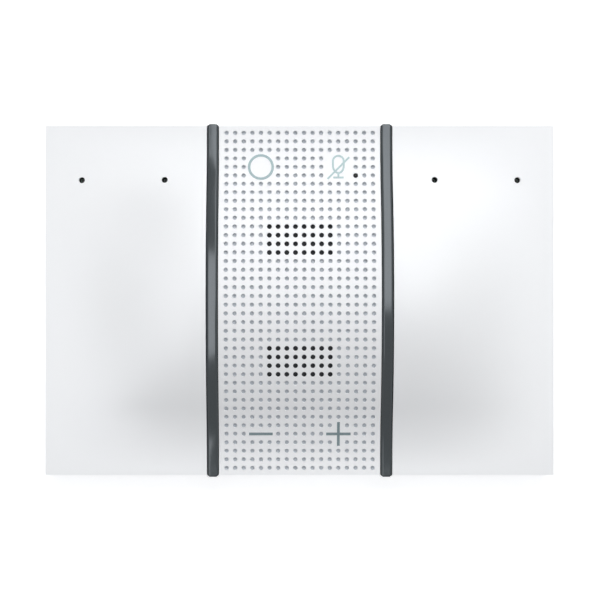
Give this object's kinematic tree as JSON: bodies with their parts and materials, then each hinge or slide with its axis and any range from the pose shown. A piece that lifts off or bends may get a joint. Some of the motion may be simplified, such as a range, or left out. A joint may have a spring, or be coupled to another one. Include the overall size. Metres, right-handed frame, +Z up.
{
  "type": "conference speakerphone",
  "caption": "Low rectangular table speakerphone with a swelled middle, dark trim rails, a perforated centre panel, touch icons and sprung loudspeaker diaphragms.",
  "frame": {"origin": "on the table, under the centre of the body's outline", "axes": "+X to the right along the longest side, +Y to the back face with the connector, +Z up"},
  "size_m": [0.1774, 0.1232, 0.0246],
  "materials": {
    "plastic_white": "satin",
    "plastic_white_grille": "satin",
    "plastic_base": "fine texture",
    "rubber_foot": "matte",
    "rail_metal": "gloss",
    "screw_steel": "satin",
    "icon_pale": "satin",
    "icon_slate": "satin",
    "lens_dark": "gloss",
    "led_body": "satin",
    "film_amber": "satin",
    "plastic_dark": "matte",
    "cloth_black": "woven",
    "foam_grey": "matte",
    "driver_steel": "satin",
    "magnet_plated": "plated",
    "surround_rubber": "satin",
    "cone_grey": "matte",
    "coil_copper": "enamelled",
    "board_green": "satin",
    "tin_plate": "satin",
    "boot_rubber": "matte",
    "mic_gold": "satin",
    "battery_wrap": "satin",
    "foam_white": "matte",
    "ribbon_white": "satin"
  },
  "bodies": {
    "chassis": {"base_plate": "plastic_base", "foot_front_left": "rubber_foot", "foot_front_right": "rubber_foot", "foot_rear_left": "rubber_foot", "foot_rear_right": "rubber_foot", "left_wing_cover": "plastic_white", "right_wing_cover": "plastic_white", "centre_grille": "plastic_white_grille", "left_trim_rail": "rail_metal", "right_trim_rail": "rail_metal", "case_screws": "screw_steel", "rail_screws": "screw_steel", "call_ring_inlay": "icon_pale", "mute_icon_inlay": "icon_pale", "volume_down_inlay": "icon_slate", "volume_up_inlay": "icon_slate", "status_lens": "lens_dark", "status_led": "led_body", "rear_touch_film": "film_amber", "front_touch_film": "film_amber", "rear_touch_tail": "film_amber", "front_touch_tail": "film_amber", "speaker_chamber": "plastic_dark", "chamber_screws": "screw_steel", "rear_speaker_cloth": "cloth_black", "front_speaker_cloth": "cloth_black", "rear_speaker_gasket": "foam_grey", "front_speaker_gasket": "foam_grey", "rear_driver_basket": "driver_steel", "front_driver_basket": "driver_steel", "rear_driver_magnet": "magnet_plated", "front_driver_magnet": "magnet_plated", "rear_driver_surround": "surround_rubber", "front_driver_surround": "surround_rubber", "main_board": "board_green", "board_shield": "tin_plate", "board_screws": "screw_steel", "io_board": "board_green", "usb_c_receptacle": "tin_plate", "left_mic_board": "board_green", "right_mic_board": "board_green", "left_mic_boots": "boot_rubber", "right_mic_boots": "boot_rubber", "mic_capsules": "mic_gold", "mic_board_screws": "screw_steel", "battery_pack": "battery_wrap", "battery_pad": "foam_white", "io_ribbon": "ribbon_white", "left_mic_ribbon": "ribbon_white", "right_mic_ribbon": "ribbon_white"},
    "rear_diaphragm": {"rear_driver_cone": "cone_grey", "rear_voice_coil": "coil_copper"},
    "front_diaphragm": {"front_driver_cone": "cone_grey", "front_voice_coil": "coil_copper"}
  },
  "joints": [
    {"name": "rear_diaphragm_slide", "type": "slide", "parent": "chassis", "child": "rear_diaphragm", "axis": [0, 0.2211, 0.9753], "range_m": [-0.0008, 0.0008], "stiffness_N_per_m": 2500, "deforming": ["rear_driver_surround"]},
    {"name": "front_diaphragm_slide", "type": "slide", "parent": "chassis", "child": "front_diaphragm", "axis": [0, -0.2211, 0.9753], "range_m": [-0.0008, 0.0008], "stiffness_N_per_m": 2500, "deforming": ["front_driver_surround"]}
  ]
}
